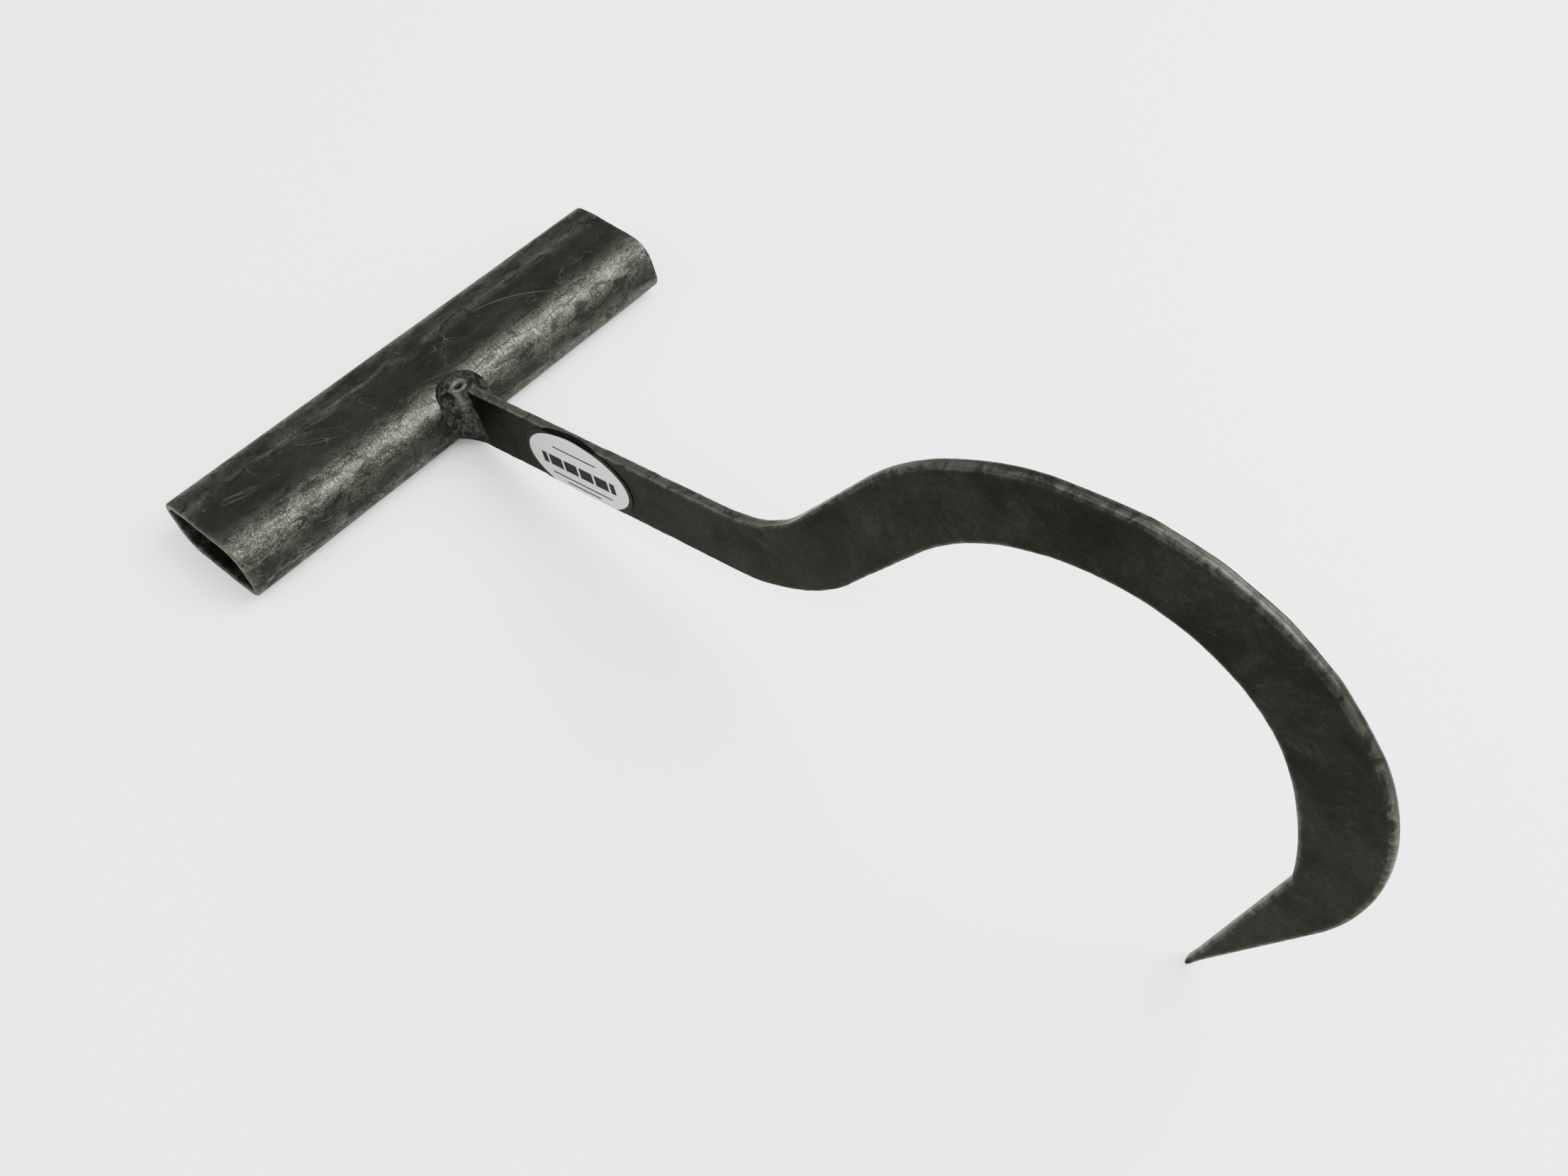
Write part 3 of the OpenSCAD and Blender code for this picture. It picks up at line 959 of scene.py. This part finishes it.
@dataclass
class WeldBead:
    """The weld round the joint: hollow fillets at the sides, a hump with a crater on top."""

    grip: Grip
    bar: HookBar
    half_reach: float = 8.3
    low_angle: float = -84.0
    top_angle: float = 75.0
    squareness: float = 2.3
    hump: float = 1.35
    hollow: float = 0.62
    crater: Point2 = (16.3, -1.3)
    crater_r: float = 0.95
    crater_deep: float = 1.1
    rim_high: float = 0.3
    rim_at: float = 1.8
    rim_wide: float = 0.6
    inset: float = 0.2
    sink: float = 0.15
    wander: float = 0.45
    leg_low: float = 23.0
    leg_high: float = 20.4
    leg_tuck: float = 3.6
    ripples: int = 40
    near_ripple: float = 0.11
    far_ripple: float = 0.03
    line_steps: int = 400
    around: int = 360
    across: int = 44

    def _tube_line(self) -> TubeLine:
        """The tube's front from under the joint to over it, with lengths."""
        line: TubeLine = []
        for k in range(self.line_steps + 1):
            angle = mixed(self.low_angle, self.top_angle, k / self.line_steps)
            spot, way = self.grip.touch(math.radians(angle))
            length = line[-1][2] + math.dist(line[-1][0], spot) if line else 0.0
            line.append((spot, way, length))
        return line

    @staticmethod
    def _on_tube(line: TubeLine, share: float) -> tuple[Point2, Point2]:
        """Point and direction a share of the way up the tube's front."""
        goal = share * line[-1][2]
        for (p, n, a), (q, m, b) in zip(line, line[1:]):
            if b >= goal:
                s = 0.0 if b == a else (goal - a) / (b - a)
                way = (mixed(n[0], m[0], s), mixed(n[1], m[1], s))
                size = math.hypot(*way)
                return (mixed(p[0], q[0], s), mixed(p[1], q[1], s)), (way[0] / size, way[1] / size)
        return line[-1][0], line[-1][1]

    def _on_bar(self, angle: float) -> Point2:
        """Y and Z just inside the bar's surface, at an angle from straight down."""
        aside, up = -math.sin(angle), -math.cos(angle)
        reach = max(abs(aside), abs(up))
        half_t, half_w = self.bar.thick / 2 - self.inset, self.bar.width / 2 - self.inset
        return aside / reach * half_t, up / reach * half_w - self.bar.drop

    def build(self, stance: "Stance") -> bpy.types.Object:
        """Makes the bead as one closed band round the joint.

        Args:
            stance: Where the tool stands.

        Returns:
            The bead.
        """
        line = self._tube_line()
        skin = Skin()
        rings = []
        power = 2 / self.squareness
        for k in range(self.around):
            angle = 2 * math.pi * k / self.around
            aside, up = -math.sin(angle), -math.cos(angle)
            swing = math.copysign(abs(aside) ** power, aside)
            rise = math.copysign(abs(up) ** power, up)
            (tx, tz), (tnx, tnz) = self._on_tube(line, 0.5 + 0.5 * rise)
            by, bz = self._on_bar(angle)
            reach = self.half_reach + self.wander * ripple(20 * aside, 20 * up, 5.0, 6.0)
            tube_toe = Vector((tx - tnx * self.sink, reach * swing, tz - tnz * self.sink))
            leg = mixed(self.leg_low, self.leg_high, smooth(-0.9, 0.9, up))
            leg -= self.leg_tuck * smooth(0.7, 1.0, -up)
            leg += 0.5 * ripple(9 * aside, 9 * up, 2.0, 4.0)
            bar_toe = Vector((leg, by, bz))
            crest = smooth(0.2, 0.85, up)
            root = Vector((self.bar.start + 1.5, by * 0.3, bz * 0.92))
            middle = (bar_toe + tube_toe) / 2
            control = middle + (root - middle) * self.hollow * (1 - crest)
            out = Vector((tnx * 0.5 + 0.2, aside * 0.6, tnz * 0.5 + up * 0.5)).normalized()
            points, crown, pit, rim = [], [], [], []
            for i in range(self.across + 1):
                t = i / self.across
                spot = tube_toe * (1 - t) ** 2 + control * (2 * t * (1 - t)) + bar_toe * t**2
                belly = 4 * t * (1 - t)
                wave = math.sin(math.tau * (k / self.around * self.ripples + 0.4 * belly))
                rough = self.near_ripple if aside > 0.1 else self.far_ripple
                lift = self.hump * crest * belly**0.75 + rough * wave * belly
                lift += (0.22 * ripple(*spot, 2.1) + 0.10 * ripple(*spot, 0.9)) * belly
                # The crater shapes the bead and also paints shade inside it and a highlight on the ring
                # round it.
                hole, ring = self._crater(spot) if up > 0 else (0.0, 0.0)
                spot = spot + out * (lift - self.crater_deep * hole + self.rim_high * ring)
                points.append(stance.place(*spot))
                crown.append(belly * (0.3 + 0.7 * crest))
                pit.append(hole)
                rim.append(ring)
            sunk = (
                Vector((leg - 1.5, by * 0.6, bz * 0.96)),
                root,
                Vector((tx - tnx * 1.3, tube_toe.y * 0.85, tz - tnz * 1.3)),
            )
            points.extend(stance.place(*p) for p in sunk)
            for values in (crown, pit, rim):
                values.extend([0.0] * len(sunk))
            rings.append(skin.ring(points, crown=crown, pit=pit, rim=rim))
        for one, other in zip(rings, rings[1:] + rings[:1]):
            skin.bridge(one, other)
        return skin.build("weld_bead", 60.0)

    def _crater(self, spot: Vector) -> Point2:
        """How far a point is into the crater and on to the ring round it, each from 0 to 1; these shape
        the bead and paint shade in the crater and a highlight on the ring.
        """
        away = math.dist(spot.xy, self.crater) / self.crater_r
        return math.exp(-(away**2)), math.exp(-(((away - self.rim_at) / self.rim_wide) ** 2))

    def dress(self, piece: bpy.types.Object) -> None:
        """Gives the bead its finish and its place in the frame."""
        Finish.WELD.put_on(piece)
        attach(piece, BODY)
        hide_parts("weld_near", "weld_far", "weld_top", "weld_under")


@dataclass
class Label:
    """The oval label, on the bar's near face and folded over both edges."""

    bar: HookBar
    half_long: float = 19.5
    half_short: float = 12.0
    middle_x: float = 59.5
    low: float = 1.0
    thick: float = 0.12
    edge_gap: float = 0.2
    rings: int = 26
    around: int = 144

    def _folded(self, along: float, up: float, lift: float) -> Point3:
        """Lays a point of the flat label on the bar.

        Args:
            along: Place along the shank.
            up: Place across it, measured round the bar's edges.
            lift: Height above the bar's surface.

        Returns:
            The point in the tool's frame.
        """
        r = self.bar.crease
        half_w, half_t = self.bar.width / 2, self.bar.thick / 2
        side = math.copysign(1.0, up)
        over = abs(up) - (half_w - r)
        if over <= 0:
            y, z = -half_t - lift, up
        elif over <= r * math.pi / 2:
            turn = over / r
            y = -half_t + r - (r + lift) * math.cos(turn)
            z = side * (half_w - r + (r + lift) * math.sin(turn))
        else:
            y, z = -half_t + r + over - r * math.pi / 2, side * (half_w + lift)
        return along, y, z - self.bar.drop

    def build(self, stance: "Stance") -> bpy.types.Object:
        """Makes the label, as a thin closed film, where the tool stands."""
        skin = Skin()
        lowest = self.bar.width / 2 + self.bar.thick - self.edge_gap - self.low
        sides: list[list[list[int]]] = []
        for lift in (self.thick, 0.0):
            layer = []
            for i in range(self.rings, 0, -1):
                points, print_x, print_y = [], [], []
                for k in range(self.around):
                    angle = 2 * math.pi * k / self.around
                    depth = -self.half_short * math.sin(angle)
                    share = i / self.rings * (lowest / depth if depth > lowest else 1.0)
                    a = self.half_long * share * math.cos(angle)
                    b = self.half_short * share * math.sin(angle)
                    spot = self._folded(self.middle_x + a, b - self.low, lift)
                    points.append(stance.place(*spot))
                    print_x.append(a * MM)
                    print_y.append(b * MM)
                layer.append(skin.ring(points, print_x=print_x, print_y=print_y))
            sides.append(layer)
        front, back = sides
        for one, other in zip(front, front[1:]):
            skin.bridge(one, other)
        for one, other in zip(back, back[1:]):
            skin.bridge(other, one)
        skin.cap(front[-1])
        skin.cap(back[-1], flip=True)
        skin.bridge(back[0], front[0])
        return skin.build("label_sticker", 60.0)

    def dress(self, piece: bpy.types.Object) -> None:
        """Gives the label its print and its place in the frame."""
        Finish.LABEL.put_on(piece)
        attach(piece, BODY)
        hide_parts("label_film")


@dataclass
class Stance:
    """How the tool stands on the bench: on the grip's heel and the hook's point."""

    grip: Grip
    bar: HookBar

    def __post_init__(self) -> None:
        """Works out the tilt and the shift."""
        wide = self.grip.wide_c
        heel = (-wide[0], -wide[1])
        tip = self.bar.tip_centre()
        span = math.dist(heel, tip)
        slope = math.atan2(tip[1] - heel[1], tip[0] - heel[0])
        self.tilt = math.asin((self.bar.tip_r - self.grip.wide_r) / span) - slope
        tight = self.grip.tight_c
        back = min(
            self._tipped(-tight[0], -tight[1])[0] - self.grip.tight_r,
            self._tipped(*heel)[0] - self.grip.wide_r,
        )
        front = self._tipped(*self.bar.bowl_centre())[0] + self.bar.bowl_r + self.bar.width / 2
        self.shift_x = -(back + front) / 2
        self.shift_z = self.grip.wide_r - self._tipped(*heel)[1]

    def _tipped(self, x: float, z: float) -> Point2:
        """A point turned by the tilt."""
        c, s = math.cos(self.tilt), math.sin(self.tilt)
        return x * c - z * s, x * s + z * c

    def place(self, x: float, y: float, z: float) -> Vector:
        """A point of the tool's frame, in millimetres, as a point on the bench in metres."""
        tx, tz = self._tipped(x, z)
        return Vector((tx + self.shift_x, y, tz + self.shift_z)) * MM


# ---------------------------------------------------------------- studio


@dataclass(frozen=True)
class Softbox:
    """One soft light: where it is, what it points at, how big and how strong."""

    name: str
    at: Point3
    towards: Point3
    size: tuple[float, float]
    watts: float

    def build(self) -> None:
        """Hangs the light and turns it to its aim."""
        light = bpy.data.lights.new(self.name, "AREA")
        light.shape = "RECTANGLE"
        light.size, light.size_y = self.size
        light.energy = self.watts
        lamp = bpy.data.objects.new(self.name, light)
        lamp.location = self.at
        aim = Vector(self.towards) - Vector(self.at)
        lamp.rotation_euler = aim.to_track_quat("-Z", "Y").to_euler()
        bpy.context.scene.collection.objects.link(lamp)


@dataclass
class Studio:
    """Pale bench, soft lights and the camera."""

    camera_at: Point3 = (0.10379, -0.15381, 0.30987)
    camera_right: Point3 = (0.77424, 0.62983, 0.06205)
    camera_up: Point3 = (-0.55315, 0.62582, 0.54988)
    lens: float = 32.385
    sky: float = 2.0
    bench_half: float = 3.0
    boxes: tuple[Softbox, ...] = (
        Softbox("key", (0.46, 0.60, 1.15), (-0.05, 0.0, 0.03), (1.1, 1.1), 62.0),
        Softbox("fill", (-0.5, -0.9, 1.1), (0.0, 0.0, 0.0), (0.9, 0.9), 12.0),
    )

    def build_camera(self) -> None:
        """Sets the camera at its place, with its turn."""
        camera = bpy.data.cameras.new("camera")
        camera.sensor_fit = "HORIZONTAL"
        camera.sensor_width = 36.0
        camera.lens = self.lens
        camera.clip_start = 0.01
        right, up = Vector(self.camera_right).normalized(), Vector(self.camera_up)
        back = right.cross(up).normalized()
        up = back.cross(right)
        turn = Matrix((right, up, back)).transposed().to_4x4()
        holder = bpy.data.objects.new("camera", camera)
        holder.matrix_world = Matrix.Translation(self.camera_at) @ turn
        bpy.context.scene.collection.objects.link(holder)
        bpy.context.scene.camera = holder

    def build_bench(self) -> None:
        """Lays the pale bench under the tool."""
        skin = Skin()
        places = [mixed(-self.bench_half, self.bench_half, i / 24) for i in range(25)]
        rows = [skin.ring([Vector((x, y, 0.0)) for y in places]) for x in places]
        for one, other in zip(rows, rows[1:]):
            skin.bridge(other, one, closed=False)
        bench = skin.build("bench")
        bench.data.materials.append(BenchPaint().make())

    def build_lights(self) -> None:
        """Sets the soft lights and the even light from all round."""
        for box in self.boxes:
            box.build()
        world = bpy.data.worlds.new("studio")
        world.use_nodes = True
        background = world.node_tree.nodes["Background"]
        background.inputs["Color"].default_value = (1.0, 1.0, 1.0, 1.0)
        background.inputs["Strength"].default_value = self.sky
        bpy.context.scene.world = world


def main() -> None:
    """Builds the tool piece by piece."""
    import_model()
    studio = Studio()
    studio.build_camera()
    grip, bar = Grip(), HookBar()
    stance = Stance(grip, bar)
    for part in (grip, bar, WeldBead(grip, bar), Label(bar)):
        piece = part.build(stance)
        part.dress(piece)
        mesh = piece.data
        LOG.info("%s: %d points, %d faces", piece.name, len(mesh.vertices), len(mesh.polygons))
    studio.build_bench()
    studio.build_lights()


if __name__ == "__main__":
    logging.basicConfig(level=logging.INFO, format="%(name)s: %(message)s")
    main()
